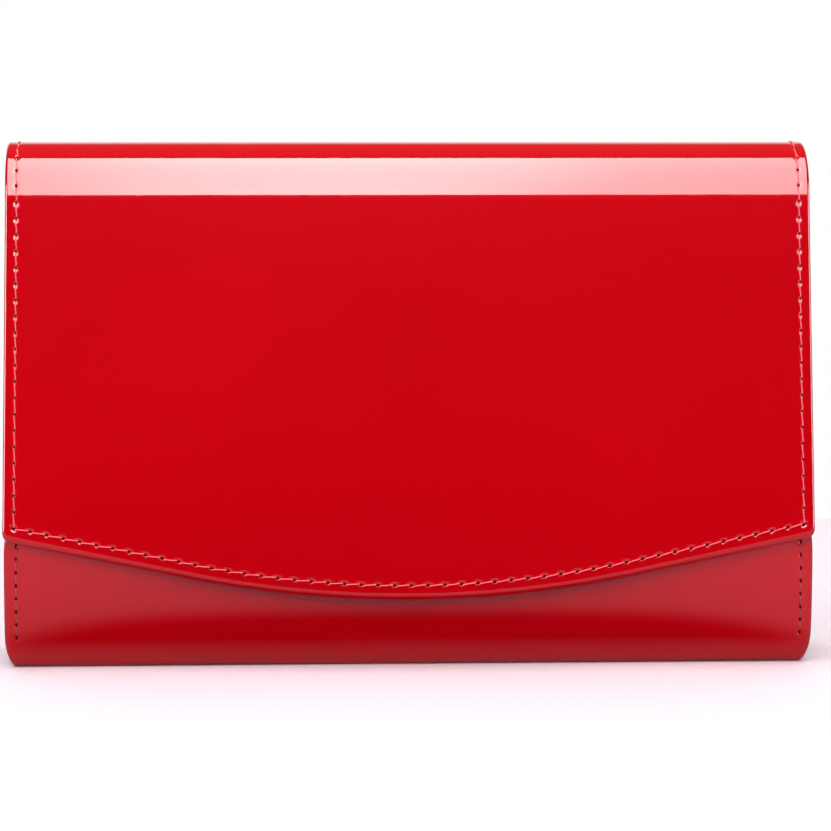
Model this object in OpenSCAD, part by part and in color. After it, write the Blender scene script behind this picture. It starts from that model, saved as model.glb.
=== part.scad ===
// Envelope clutch purse in patent leather. Width along X, the front faces -Y, Z is up.
// The origin is at the middle of the footprint, on the surface that the purse stands on.
// Each wall is a stack of layers, and a layer's place is its depth below the outer face.

/* [Body] */
// Width of the front, back and base
body_w = 236; // [180:1:300]
// Height from the base to the top of the fold
body_h = 154; // [120:1:190]
// Depth of the body where it is fullest, without the flap
body_d = 49.6; // [42:0.2:64]
// Lean of the front and back towards the mouth, in degrees
body_lean = 5; // [3.5:0.5:7.5]
// Width of the flat that the purse stands on
base_flat = 22; // [16:1:30]
// Height of the rounded lower edge
base_round = 26; // [18:1:32]
// Height of the line where the front starts to open
front_fold_z = 31; // [28:1:40]

/* [Layers] */
// Patent leather
leather_t = 0.9; // [0.6:0.1:1.4]
// Stiffener of the body and the front
stiffener_t = 1.2; // [0.8:0.1:1.8]
// Lining cloth
lining_t = 0.5; // [0.3:0.1:0.9]
// Board in the flap
flap_board_t = 1.0; // [0.8:0.1:1.6]
// Loose board on the floor of the purse
base_board_t = 1.4; // [1:0.1:2.4]

/* [Flap] */
// Width of the flap
flap_w = 238; // [182:1:302]
// Height of the middle of its lower edge above the base
flap_tip_z = 20.5; // [12:1:30]
// Radius of the lower edge in the middle
flap_edge_r = 320; // [250:5:500]
// Half the width of the curved middle of the edge, where straight runs take over
flap_arc_half = 65; // [40:1:80]
// Rounding of the two lower corners
flap_corner_r = 3; // [2:0.5:8]
// Width of the leather turned over at the edge
turned_edge = 1.4; // [1:0.1:3]
// Gap between the closed flap and the front
flap_gap = 0.6; // [0.5:0.1:1.2]

/* [Gussets] */
// Thickness of the gusset leather
gusset_t = 0.8; // [0.6:0.1:1.2]
// How far the gusset folds in at the mouth
gusset_fold_top = 14; // [8:1:18]
// How far it folds in at the front fold
gusset_fold_low = 2; // [1:0.5:5]

/* [Closure] */
// Radius of each hidden magnet
magnet_r = 8; // [5:0.5:9]
// Height of the magnets above the base
magnet_z = 48; // [44:1:70]
// Width of the plastic pocket around a magnet
magnet_pocket = 1.6; // [1:0.2:3]

/* [Zip pocket] */
// Height of the zip above the base
zip_z = 104; // [95:1:115]
// Length of the zip's opening
zip_len = 140; // [100:2:150]
// Height of the zip's opening
zip_slot = 9; // [8:0.5:12]
// Border of the leather frame around the opening
zip_frame_border = 7; // [5:0.5:10]
// Spacing of the teeth
tooth_pitch = 2; // [1.6:0.1:3]

/* [Slip pocket] */
// Width of the slip pocket
slip_w = 112; // [80:1:140]
// Height of the slip pocket
slip_h = 62; // [45:1:80]

/* [Stitching] */
// Length of one stitch
stitch_len = 3.4; // [2.5:0.1:4]
// Spacing of the stitches
stitch_pitch = 5; // [4.4:0.1:6]
// Distance of the stitches from the edge
stitch_inset = 4.2; // [3:0.1:6]
// Thickness of the thread as it lies on the leather
thread_t = 0.25; // [0.15:0.05:0.3]

/* [Hidden] */
$fn = 64;

// Stack depths
wall_t = leather_t + stiffener_t + lining_t;
flap_t = leather_t + flap_board_t + lining_t;
flap_rise = flap_gap + flap_t;
y_mid = flap_rise / 2;

// Side outline: leaning walls over two quarter ellipses and a flat
half_d = body_d / 2;
round_w = half_d - base_flat / 2;
arc_steps = 12;
lean_tan = tan(body_lean);

// The fold over the top is an arc that meets both leaning faces
fold_r = (half_d - (body_h - base_round) * lean_tan + flap_rise / 2)
         * cos(body_lean) / (1 - sin(body_lean));
fold_y = y_mid - flap_rise / 2;
fold_z = body_h - fold_r;
hinge_z = fold_z + fold_r * sin(body_lean);
fold_steps = 24;
fold_step = (180 - 2 * body_lean) / fold_steps;
clear = 0.3;
seam_gap = 0.05;
back_top_z = hinge_z - clear - flap_t * sin(body_lean);
front_top_z = fold_z;
front_low_z = front_fold_z + clear;
binding_h = 1.2;
facing_t = 0.8;
facing_h = 11;

// Leaning faces
function half_at(z) = half_d - (max(z, base_round) - base_round) * lean_tan;
function back_y(z, deep = 0) = y_mid + half_at(z) - deep;
function front_y(z, deep = 0) = y_mid - half_at(z) + deep;
function flap_y(z, deep = 0) = front_y(z) - flap_rise + deep;
function reversed(list) = [for (i = [len(list) - 1 : -1 : 0]) list[i]];

// Line at one depth from the top of the back, round the base, to the front fold
function body_line(deep, top_z, low_z) = concat(
    [[back_y(top_z, deep), top_z]],
    [for (i = [0 : arc_steps]) let (a = 90 * i / arc_steps)
        [y_mid + base_flat / 2 + (round_w - deep) * cos(a), base_round - (base_round - deep) * sin(a)]],
    [for (i = [arc_steps : -1 : 0]) let (a = 90 * i / arc_steps)
        [y_mid - base_flat / 2 - (round_w - deep) * cos(a), base_round - (base_round - deep) * sin(a)]],
    [[front_y(low_z, deep), low_z]]);

// Line at one depth of the flap, from the hinge over the fold and down the front
flap_straight_z = 30;
function flap_line(deep) = concat(
    [for (a = [body_lean : fold_step : 180 - body_lean + fold_step / 2])
        [fold_y + (fold_r - deep) * cos(a), fold_z + (fold_r - deep) * sin(a)]],
    [[flap_y(flap_straight_z, deep / cos(body_lean)), flap_straight_z],
     [flap_y(flap_straight_z, deep / cos(body_lean)), 0]]);

// Lower edge of the flap, inset by e: an arc with a straight run on each side
edge_a = asin(flap_arc_half / flap_edge_r);
function edge_rise(x, r) = abs(x) < r * sin(edge_a)
    ? r - sqrt(r * r - x * x)
    : r * (1 - cos(edge_a)) + (abs(x) - r * sin(edge_a)) * tan(edge_a);
function edge_z(x, e = 0) = flap_tip_z + e + edge_rise(x, flap_edge_r - e);
edge_steps = 24;
least_corner_r = 0.4;
function half_outline(e) = let (
        w = flap_w / 2 - e,
        c = max(flap_corner_r - e, least_corner_r),
        zc = edge_z(w - c, e) + c / cos(edge_a))
    concat([for (i = [0 : edge_steps]) let (x = (w - c) * i / edge_steps) [x, edge_z(x, e)]],
           [for (a = [-90 + edge_a : 15 : 0]) [w - c + c * cos(a), zc + c * sin(a)]],
           [[w, zc], [w, body_h + 1]]);

// Extrudes an outline drawn in the YZ plane along X, centred
module across(w) {
    rotate([90, 0, 90])
        linear_extrude(height = w, center = true)
            children();
}

// One layer of the back and base, between two depths
module body_layer(d1, d2, w) {
    across(w)
        polygon(concat(body_line(d1, back_top_z, front_fold_z),
                       reversed(body_line(d2, back_top_z, front_fold_z))));
}

// A flat sheet on a leaning wall, as wide as w, between two heights and two depths
module front_sheet(w, z1, z2, d1, d2) {
    across(w)
        polygon([[front_y(z1, d1), z1], [front_y(z1, d2), z1],
                 [front_y(z2, d2), z2], [front_y(z2, d1), z2]]);
}

module back_sheet(w, z1, z2, d1, d2) {
    across(w)
        polygon([[back_y(z1, d1), z1], [back_y(z1, d2), z1],
                 [back_y(z2, d2), z2], [back_y(z2, d1), z2]]);
}

// Puts a shape on a leaning face, with its local Z along the face's outward normal
module on_front(x, z, y) {
    translate([x, y, z])
        rotate([90 - body_lean, 0, 0])
            children();
}

// The same on the back's inner face, with local Z pointing into the purse
module on_back_inside(x, z, deep) {
    translate([x, back_y(z, deep), z])
        rotate([90 + body_lean, 0, 0])
            children();
}

// One layer of the flap, cut to the outline inset by e
module flap_layer(d1, d2, e) {
    intersection() {
        across(flap_w)
            polygon(concat(flap_line(d1), reversed(flap_line(d2))));
        flap_block(e);
    }
}

module flap_block(e) {
    half = half_outline(e);
    translate([0, body_d, 0])
        rotate([90, 0, 0])
            linear_extrude(height = 2 * body_d)
                polygon(concat(half, [for (p = reversed(half)) [-p[0], p[1]]]));
}

// ---- shell ----

module back_leather() {
    color("#a8010c")
        body_layer(0, leather_t, body_w);
}

module body_stiffener() {
    color("#8c7a66")
        body_layer(leather_t, leather_t + stiffener_t, body_w - 2 * turned_edge);
}

module body_lining() {
    color("#3a2a2c")
        body_layer(leather_t + stiffener_t, wall_t, body_w - 2 * turned_edge);
}

board_side_gap = 6;
board_end_gap = 1;
module base_board() {
    color("#4a3a3a")
        translate([0, y_mid, wall_t + base_board_t / 2])
            cube([body_w - 2 * board_side_gap, base_flat - 2 * board_end_gap, base_board_t], center = true);
}

facing_side_gap = 16;
module back_facing() {
    color("#b40a16")
        back_sheet(body_w - 2 * facing_side_gap, back_top_z - facing_h, back_top_z - clear,
                   wall_t, wall_t + facing_t);
}

// Triangular plate between three corners
module plate3(a, b, c, t) {
    hull() {
        translate(a) cube(t, center = true);
        translate(b) cube(t, center = true);
        translate(c) cube(t, center = true);
    }
}

// One leaf of a gusset from the wall to the fold line; way is 1 for the rear leaf, -1 for the front
leaf_gap = 0.5;
leaf_low_gap = 1.5;
leaf_top_gap = 3;
module leaf(way, side, x_low, x_top, t) {
    z1 = front_fold_z + (way > 0 ? 0 : leaf_low_gap);
    z2 = front_top_z - leaf_top_gap;
    deep = wall_t + t / 2 + seam_gap;
    y_low = way > 0 ? back_y(z1, deep) : front_y(z1, deep);
    y_top = way > 0 ? back_y(z2, deep) : front_y(z2, deep);
    y_fold = y_mid + way * (leaf_gap + t / 2);
    p1 = [side * x_low, y_low, z1];
    p2 = [side * x_top, y_top, z2];
    p3 = [side * (x_top - gusset_fold_top), y_fold, z2];
    p4 = [side * (x_low - gusset_fold_low), y_fold, z1];
    plate3(p1, p2, p3, t);
    plate3(p1, p3, p4, t);
}

// Wall that closes the side below the front fold
module side_wall(side, x0, t) {
    translate([side * x0, 0, 0])
        across(t)
            polygon(body_line(wall_t + seam_gap, front_fold_z, front_fold_z - clear));
}

// The lining stands off the gusset, more at the mouth where the leaf turns across the purse
gusset_inset = 1;
lining_gap = 0.6;
gusset_x = body_w / 2 - gusset_inset;
function lining_off(fold, half) = ((gusset_t + lining_t) / sqrt(2) + lining_gap)
    * norm([fold, half]) / half;
gusset_lining_x = gusset_x - lining_off(gusset_fold_low, half_at(front_fold_z) - wall_t);
gusset_lining_top_x = gusset_x
    - lining_off(gusset_fold_top, half_at(front_top_z) - wall_t - gusset_t - leaf_gap);
module gusset(side) {
    color("#9c0410") {
        side_wall(side, gusset_x, gusset_t);
        leaf(1, side, gusset_x, gusset_x, gusset_t);
    }
}

module gusset_lining(side) {
    color("#3a2a2c") {
        side_wall(side, gusset_lining_x, lining_t);
        leaf(1, side, gusset_lining_x, gusset_lining_top_x, lining_t);
    }
}

module gusset_left() {
    gusset(-1);
}

module gusset_right() {
    gusset(1);
}

module gusset_lining_left() {
    gusset_lining(-1);
}

module gusset_lining_right() {
    gusset_lining(1);
}

// ---- zip pocket, in a stack on the lining of the back ----

tape_t = 0.4;
tape_over = 2;
tooth_t = 0.8;
frame_t = 1.2;
tape_h = zip_slot + 2 * tape_over;
tape_len = zip_len + 2 * tape_over;

// A block on the back's inner face from height h1 to h2 above the lining
module inner_block(len, high, h1, h2) {
    on_back_inside(0, zip_z, wall_t)
        translate([-len / 2, -high / 2, h1])
            cube([len, high, h2 - h1]);
}

module zip_tape() {
    color("#7a0b14")
        inner_block(tape_len, tape_h, 0, tape_t);
}

module zip_frame() {
    color("#b40a16")
        difference() {
            inner_block(zip_len + 2 * zip_frame_border, zip_slot + 2 * zip_frame_border, 0, frame_t);
            inner_block(tape_len + 0.1, tape_h + 0.1, -1, tape_t);
            inner_block(zip_len, zip_slot, -1, frame_t + 1);
        }
}

tooth_w = 1.1;
tooth_h = 2.6;
tooth_shift = 0.7;
tooth_end_gap = 5;
tooth_count = floor((zip_len - 2 * tooth_end_gap) / tooth_pitch);
module zip_teeth() {
    color("#d9b56a")
        on_back_inside(0, zip_z, wall_t)
            for (i = [0 : tooth_count])
                translate([(i - tooth_count / 2) * tooth_pitch - tooth_w / 2,
                           -tooth_h / 2 + (i % 2 == 0 ? tooth_shift : -tooth_shift), tape_t])
                    cube([tooth_w, tooth_h, tooth_t]);
}

stop_w = 2.4;
stop_rise = 0.4;
module zip_stops() {
    color("#d9b56a")
        on_back_inside(0, zip_z, wall_t)
            for (s = [-1, 1])
                translate([s * (zip_len / 2 - stop_w) - stop_w / 2, -tooth_h, tape_t])
                    cube([stop_w, 2 * tooth_h, tooth_t + stop_rise]);
}

// Flat bag of lining cloth that hangs below the frame, against the lining
bag_h = 56;
bag_side_gap = 3;
bag_w = zip_len - 2 * bag_side_gap;
module zip_pocket_bag() {
    top = zip_z - zip_slot / 2 - zip_frame_border - clear;
    color("#4b3638")
        back_sheet(bag_w, top - bag_h, top, wall_t, wall_t + 2 * lining_t);
}

slider_l = 8;
slider_w = 8;
slider_low = tape_t + clear;
slider_in = tape_t + tooth_t + clear;
slider_roof = 1;
slider_top = slider_in + slider_roof;
channel_w = 2 * (tooth_h / 2 + tooth_shift + clear);
// The slider rests one end of its travel short of the stop
slider_stop_gap = 3.4;
slider_x = -(zip_len / 2 - stop_w - slider_l / 2 - slider_stop_gap);
pin_r = 0.6;
pin_gap = 0.3;
eye_r = 1.7;
lug_t = 0.9;
pull_w = slider_w - 2 * lug_t - 2 * clear;
pin_z = slider_top + eye_r + clear;
module zip_slider() {
    color("#d9b56a")
        on_back_inside(slider_x, zip_z, wall_t) {
            difference() {
                translate([-slider_l / 2, -slider_w / 2, slider_low])
                    cube([slider_l, slider_w, slider_top - slider_low]);
                translate([-slider_l, -channel_w / 2, -1])
                    cube([2 * slider_l, channel_w, slider_in + 1]);
            }
            for (s = [-1, 1])
                translate([-eye_r, s * (slider_w - lug_t) / 2 - lug_t / 2, slider_in])
                    cube([2 * eye_r, lug_t, pin_z - slider_in + 2 * pin_r]);
            translate([0, slider_w / 2, pin_z])
                rotate([90, 0, 0])
                    cylinder(h = slider_w, r = pin_r, $fn = 32);
        }
}

pull_l = 15;
pull_t = 1.1;
module zip_pull() {
    color("#d9b56a")
        on_back_inside(slider_x, zip_z, wall_t)
            difference() {
                union() {
                    translate([0, pull_w / 2, pin_z])
                        rotate([90, 0, 0])
                            cylinder(h = pull_w, r = eye_r, $fn = 32);
                    translate([0, -pull_w / 2, pin_z - pull_t / 2])
                        cube([pull_l - pull_w / 2, pull_w, pull_t]);
                    translate([pull_l - pull_w / 2, 0, pin_z - pull_t / 2])
                        cylinder(h = pull_t, r = pull_w / 2, $fn = 32);
                }
                translate([0, pull_w, pin_z])
                    rotate([90, 0, 0])
                        cylinder(h = 2 * pull_w, r = pin_r + pin_gap, $fn = 32);
            }
}

// ---- front ----

front_stack_top = front_top_z - binding_h;
module front_leather() {
    color("#a8010c")
        front_sheet(body_w, front_low_z, front_stack_top, 0, leather_t);
}

// Disc for a magnet, its pocket or its hole, between two depths below an outer face at y
module magnet_disc(y, d1, d2, r) {
    on_front(0, magnet_z, y)
        translate([0, 0, -d2])
            cylinder(h = d2 - d1, r = r);
}

// Depths of the front's layers square to its face, and the play of a magnet between them
front_in = leather_t * cos(body_lean);
front_out = (leather_t + stiffener_t) * cos(body_lean);
magnet_play = 0.02;

pocket_r = magnet_r + magnet_pocket;
module front_stiffener() {
    color("#8c7a66")
        difference() {
            front_sheet(body_w - 2 * turned_edge, front_low_z, front_stack_top,
                        leather_t, leather_t + stiffener_t);
            magnet_disc(front_y(magnet_z), 0, wall_t, pocket_r + seam_gap);
        }
}

module front_lining() {
    color("#3a2a2c")
        front_sheet(body_w - 2 * turned_edge, front_low_z, front_stack_top,
                    leather_t + stiffener_t, wall_t);
}

module front_facing() {
    color("#b40a16")
        front_sheet(body_w - 2 * facing_side_gap, front_stack_top - facing_h, front_stack_top,
                    wall_t, wall_t + facing_t);
}

module front_top_binding() {
    color("#c81420")
        front_sheet(body_w, front_stack_top, front_top_z, 0, wall_t + facing_t);
}

module front_leaf(side) {
    color("#9c0410")
        leaf(-1, side, gusset_x, gusset_x, gusset_t);
}

module front_leaf_lining(side) {
    color("#3a2a2c")
        leaf(-1, side, gusset_lining_x, gusset_lining_top_x, lining_t);
}

module front_gusset_left() {
    front_leaf(-1);
}

module front_gusset_right() {
    front_leaf(1);
}

module front_gusset_lining_left() {
    front_leaf_lining(-1);
}

module front_gusset_lining_right() {
    front_leaf_lining(1);
}

slip_low_z = 52;
slip_t = 2 * lining_t;
slip_binding_h = 5;
slip_binding_over = 1;
slip_binding_t = slip_t + 0.2;
module slip_pocket() {
    color("#4b3638")
        front_sheet(slip_w, slip_low_z, slip_low_z + slip_h, wall_t, wall_t + slip_t);
}

module slip_pocket_binding() {
    color("#b40a16")
        front_sheet(slip_w + 2 * slip_binding_over, slip_low_z + slip_h,
                    slip_low_z + slip_h + slip_binding_h, wall_t, wall_t + slip_binding_t);
}

module front_magnet() {
    color("#b9bdc2")
        magnet_disc(front_y(magnet_z), front_in + magnet_play, front_out - magnet_play, magnet_r);
}

module front_magnet_pocket() {
    color("#dcdcdc")
        difference() {
            magnet_disc(front_y(magnet_z), front_in + magnet_play, front_out - magnet_play, pocket_r);
            magnet_disc(front_y(magnet_z), 0, wall_t, magnet_r + seam_gap);
        }
}

// Upright rows of stitches near both sides of a leaning face, a hair above it
row_low_z = 40;
thread_lift = 0.02;
module stitch_rows(x0, top_z) {
    n = floor((top_z - row_low_z) / stitch_pitch);
    for (s = [-1, 1], i = [0 : n - 1])
        translate([s * x0 - thread_t, i * stitch_pitch - stitch_len / 2, thread_lift])
            cube([2 * thread_t, stitch_len, thread_t]);
}

module front_stitching() {
    color("#e04050")
        on_front(0, row_low_z, front_y(row_low_z))
            stitch_rows(body_w / 2 - stitch_inset, front_stack_top - stitch_pitch);
}

module back_stitching() {
    color("#e04050")
        translate([0, back_y(row_low_z), row_low_z])
            rotate([-90 + body_lean, 0, 0])
                mirror([0, 1, 0])
                    stitch_rows(body_w / 2 - stitch_inset, back_top_z - stitch_pitch);
}

// ---- flap ----

module flap_leather() {
    color("#a8010c")
        flap_layer(0, leather_t, 0);
}

module flap_board() {
    color("#8c7a66")
        difference() {
            flap_layer(leather_t, leather_t + flap_board_t, turned_edge);
            magnet_disc(flap_y(magnet_z), 0, flap_t, pocket_r + seam_gap);
        }
}

module flap_lining() {
    color("#3a2a2c")
        flap_layer(leather_t + flap_board_t, flap_t, turned_edge);
}

module flap_turned_edge() {
    color("#c81420")
        difference() {
            flap_layer(leather_t, flap_t, 0);
            flap_block(turned_edge);
        }
}

module flap_magnet() {
    color("#b9bdc2")
        magnet_disc(flap_y(magnet_z), leather_t + magnet_play,
                    leather_t + flap_board_t - magnet_play, magnet_r);
}

module flap_magnet_pocket() {
    color("#dcdcdc")
        difference() {
            magnet_disc(flap_y(magnet_z), leather_t + magnet_play,
                        leather_t + flap_board_t - magnet_play, pocket_r);
            magnet_disc(flap_y(magnet_z), 0, flap_t, magnet_r + seam_gap);
        }
}

// Stitches follow the lower edge and the two sides; the middle of the edge is upright
side_low_z = edge_z(flap_w / 2 - stitch_inset) + stitch_inset + stitch_pitch;
side_n = floor((fold_z - side_low_z) / stitch_pitch);
edge_row_n = floor((flap_w / 2 - stitch_inset) / stitch_pitch);
edge_lift = 0.12;
module edge_stitch(x) {
    z = edge_z(x, stitch_inset);
    slope = sign(x) * atan(edge_z(abs(x) + 1, stitch_inset) - z);
    tilt = z > flap_straight_z ? body_lean : 0;
    translate([x, flap_y(max(z, flap_straight_z)), z])
        rotate([90 - tilt, 0, 0])
            rotate([0, 0, slope])
                translate([-stitch_len / 2, -thread_t, edge_lift])
                    cube([stitch_len, 2 * thread_t, thread_t]);
}

module flap_stitching() {
    color("#e04050") {
        for (i = [-edge_row_n : edge_row_n])
            edge_stitch(i * stitch_pitch);
        for (s = [-1, 1], i = [0 : side_n - 1])
            let (z = side_low_z + i * stitch_pitch)
                on_front(s * (flap_w / 2 - stitch_inset), z, flap_y(z))
                    translate([-thread_t, -stitch_len / 2, thread_lift])
                        cube([2 * thread_t, stitch_len, thread_t]);
    }
}

back_leather();
body_stiffener();
body_lining();
base_board();
back_facing();
gusset_left();
gusset_right();
gusset_lining_left();
gusset_lining_right();
zip_frame();
zip_tape();
zip_teeth();
zip_stops();
zip_pocket_bag();
back_stitching();
front_leather();
front_stiffener();
front_lining();
front_facing();
front_top_binding();
front_gusset_left();
front_gusset_right();
front_gusset_lining_left();
front_gusset_lining_right();
slip_pocket();
slip_pocket_binding();
front_magnet();
front_magnet_pocket();
front_stitching();
flap_leather();
flap_board();
flap_lining();
flap_turned_edge();
flap_magnet();
flap_magnet_pocket();
flap_stitching();
zip_slider();
zip_pull();
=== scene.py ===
# %% [markdown]
# # A red patent clutch purse
#
# An envelope clutch is a shallow box of leather-covered board with a wide flap that folds over the
# front. Almost all of it is flat stock bent round one form, so it is built here as it is on a bench:
# each layer is cut flat, its edges are turned, and then it is wrapped round the purse.
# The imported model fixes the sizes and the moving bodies, and it is loaded first.

import bisect
import math

import bpy
from mathutils import Matrix, Vector
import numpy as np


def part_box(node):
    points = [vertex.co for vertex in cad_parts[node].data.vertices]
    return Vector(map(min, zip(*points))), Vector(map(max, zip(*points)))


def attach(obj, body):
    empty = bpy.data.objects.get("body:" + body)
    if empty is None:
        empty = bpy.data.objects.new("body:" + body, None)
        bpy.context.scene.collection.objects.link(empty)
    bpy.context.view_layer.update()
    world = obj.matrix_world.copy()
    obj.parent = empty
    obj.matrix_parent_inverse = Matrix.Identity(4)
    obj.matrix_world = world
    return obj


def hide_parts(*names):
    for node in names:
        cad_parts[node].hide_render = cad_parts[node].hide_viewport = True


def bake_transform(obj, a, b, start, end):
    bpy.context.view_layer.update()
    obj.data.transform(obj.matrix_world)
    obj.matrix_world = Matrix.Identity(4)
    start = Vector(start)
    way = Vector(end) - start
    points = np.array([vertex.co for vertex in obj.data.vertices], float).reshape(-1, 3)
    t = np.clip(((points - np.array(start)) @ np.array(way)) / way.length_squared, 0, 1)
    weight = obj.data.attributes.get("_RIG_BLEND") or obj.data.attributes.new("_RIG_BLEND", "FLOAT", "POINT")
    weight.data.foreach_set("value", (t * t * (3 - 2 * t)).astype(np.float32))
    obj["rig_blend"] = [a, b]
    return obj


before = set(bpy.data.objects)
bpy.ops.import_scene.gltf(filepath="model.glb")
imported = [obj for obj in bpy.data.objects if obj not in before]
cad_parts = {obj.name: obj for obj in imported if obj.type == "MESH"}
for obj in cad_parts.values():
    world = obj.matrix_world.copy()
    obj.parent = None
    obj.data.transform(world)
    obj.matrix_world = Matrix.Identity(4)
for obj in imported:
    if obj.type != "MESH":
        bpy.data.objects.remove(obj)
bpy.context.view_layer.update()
mm = 0.001

# %% [markdown]
# ## The line round the purse
#
# Seen from the side, the leather follows one line: down the front, under the base, up the back, over
# the fold and down the flap. Each layer is that line at its own depth. So the line is worked out once,
# as points with an outward side, and every piece is laid along it by its distance from the start.
# The walls lean in towards the fold, and low down they belly out and curl under into the base.

# %% The wall's side view
lean = math.radians(5)
flap_low, flap_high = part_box("flap_leather")
fold_r = flap_high.y / math.cos(lean)
fold_z = flap_high.z - fold_r
hinge_z = fold_z + fold_r * math.sin(lean)
middle_y = 1.5 * mm
straight_z = 46 * mm
base_half = 15 * mm


def soft_curve(corners, steps):
    """Points on the smooth curve that four corners pull: from the first to the last."""
    found = []
    for k in range(steps + 1):
        t = k / steps
        parts = ((1 - t) ** 3, 3 * t * (1 - t) ** 2, 3 * t * t * (1 - t), t**3)
        found.append(tuple(sum(w * p[i] for w, p in zip(parts, corners)) for i in (0, 1)))
    return found


def wall_half(z):
    """Half the body's depth on the leaning, straight part of a wall."""
    return flap_high.y - middle_y + (hinge_z - z) * math.tan(lean)


def belly():
    """(half depth, height) from the base up to the straight wall, on one soft curve."""
    top = wall_half(straight_z)
    a, b = (base_half, 0), (base_half + 8.5 * mm, 0)
    c, d = (top + 16 * mm * math.tan(lean), straight_z - 16 * mm), (top, straight_z)
    return soft_curve((a, b, c, d), 48)


# %% The line as one measured path
class Line:
    """A bent line in the side view, with named stretches and an outward side."""

    def __init__(self, stretches):
        self.points, self.first = [], {}
        for name, points in stretches:
            self.first[name] = len(self.points)
            self.points += points
        self.run = [0.0]
        for a, b in zip(self.points, self.points[1:]):
            self.run.append(self.run[-1] + math.dist(a, b))
        self.out = []
        for k in range(len(self.points)):
            a, b = self.points[max(k - 1, 0)], self.points[min(k + 1, len(self.points) - 1)]
            length = math.dist(a, b)
            self.out.append(((b[1] - a[1]) / length, (a[0] - b[0]) / length))

    def at(self, s, deep=0.0):
        """(y, z) at a distance s along the line, deep below its surface."""
        k = min(max(bisect.bisect(self.run, s), 1), len(self.run) - 1)
        t = (s - self.run[k - 1]) / (self.run[k] - self.run[k - 1])
        (y0, z0), (y1, z1) = self.points[k - 1], self.points[k]
        (m0, n0), (m1, n1) = self.out[k - 1], self.out[k]
        m, n = m0 + (m1 - m0) * t, n0 + (n1 - n0) * t
        return y0 + (y1 - y0) * t - m * deep, z0 + (z1 - z0) * t - n * deep

    def height(self, name, z):
        """The distance along at which the named stretch passes a height."""
        k = self.first[name]
        while (self.points[k][1] - z) * (self.points[k + 1][1] - z) > 0:
            k += 1
        a, b = self.points[k][1], self.points[k + 1][1]
        return self.run[k] + (self.run[k + 1] - self.run[k]) * (z - a) / (b - a)


curl = belly()
wall_z = [hinge_z * (1 - k / 20) + straight_z * k / 20 for k in range(20)]
wall_top = [(wall_half(z), z) for z in wall_z]
front_line = [(middle_y - h, z) for h, z in wall_top + curl[::-1]]
back_line = [(middle_y + h, z) for h, z in curl + wall_top[::-1][:-1]]
soft = 4.2 * mm
arc_end = math.pi - lean - soft / fold_r
arc = [lean + (arc_end - lean) * k / 110 for k in range(111)]
fold_line = [(fold_r * math.cos(a), fold_z + fold_r * math.sin(a)) for a in arc]


def on_flap(d):
    """(y, z) on the flap's straight face, d below the hinge's height."""
    return (fold_r * math.cos(math.pi - lean) - d * math.tan(lean), hinge_z - d)


meet = on_flap(-fold_r * math.tan(soft / fold_r / 2) * math.cos(lean))
soften = soft_curve((fold_line[-1], meet, on_flap(-0.12 * soft), on_flap(soft)), 14)
fold_line += soften[1:]
flap_line = [on_flap(soft + k * 2 * mm) for k in range(1, 62)]
line = Line([("front", front_line), ("back", back_line), ("fold", fold_line), ("flap", flap_line)])
print("the line round the purse is", round(line.run[-1] / mm), "mm long")

# %% [markdown]
# ## Camera, light and floor
#
# Patent leather is a mirror over a red dye, so the light is what gives it its look. One long soft box
# stands above and in front: the fold's round catches it as a pale band, while the flat flap mirrors
# the dark room in front of it and stays deep red. The curl below the flap mirrors a dimmer, unseen copy
# of the pale floor with a painted shadow near the purse, and a white wall behind draws the thin bright
# lines along the fold and the side edges. Each light is seen either by the gloss or by the colour below
# it, so the two are set apart.

# %% Camera
camera_data = bpy.data.cameras.new("camera")
camera = bpy.data.objects.new("camera", camera_data)
bpy.context.scene.collection.objects.link(camera)
bpy.context.scene.camera = camera
eye = Vector((-48, -1025, 160)) * mm
aim = Vector((1.3, -25, 98.8)) * mm
camera.location = eye
camera.rotation_mode = "QUATERNION"
camera.rotation_quaternion = (aim - eye).to_track_quat("-Z", "Y")
camera_data.lens = 149.3
camera_data.shift_y = -0.1
camera_data.clip_start = 0.01
bpy.context.scene.view_settings.view_transform = "Standard"

# %% Lights
def area_light(name, place, aim, size, power):
    """A rectangular light that faces a point. The camera never sees it."""
    data = bpy.data.lights.new(name, "AREA")
    data.shape = "RECTANGLE"
    data.size, data.size_y = size
    data.energy = power
    light = bpy.data.objects.new(name, data)
    bpy.context.scene.collection.objects.link(light)
    light.location = place
    light.rotation_mode = "QUATERNION"
    light.rotation_quaternion = (Vector(aim) - Vector(place)).to_track_quat("-Z", "Y")
    light.visible_camera = False
    return light


def long_box(low, high, width, radiance):
    """The soft box that the lacquer mirrors, from its low edge to its high edge, each (y, z)."""
    length = math.dist(low, high)
    middle = Vector((0, (low[0] + high[0]) / 2, (low[1] + high[1]) / 2))
    face = Vector((0, high[1] - low[1], low[0] - high[0])).normalized()
    power = radiance * math.pi * width * length
    return area_light("long_box", middle, middle + face, (width, length), power)


long_soft = long_box((-1.05, 0.352), (0.0, 0.90), 1.2, 10.5)
long_soft.visible_diffuse = False
key = area_light("key_light", (-0.25, -1.25, 1.35), (0, 0, 0.06), (1.8, 1.4), 25)
fill = area_light("fill_light", (0, -1.2, 0.4), (0, 0, 0.07), (0.8, 0.5), 4.5)
top_light = area_light("top_light", (0, 0.2, 1.2), (0, 0.1, 0), (1.6, 1.3), 15)
key.visible_glossy = fill.visible_glossy = top_light.visible_glossy = False
for side, power in ((-1, 10), (1, 7)):
    panel = area_light("side_panel", (side * 0.95, -0.25, 0.22), (0, -0.02, 0.07), (0.5, 0.42), power)
    panel.visible_diffuse = False

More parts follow.
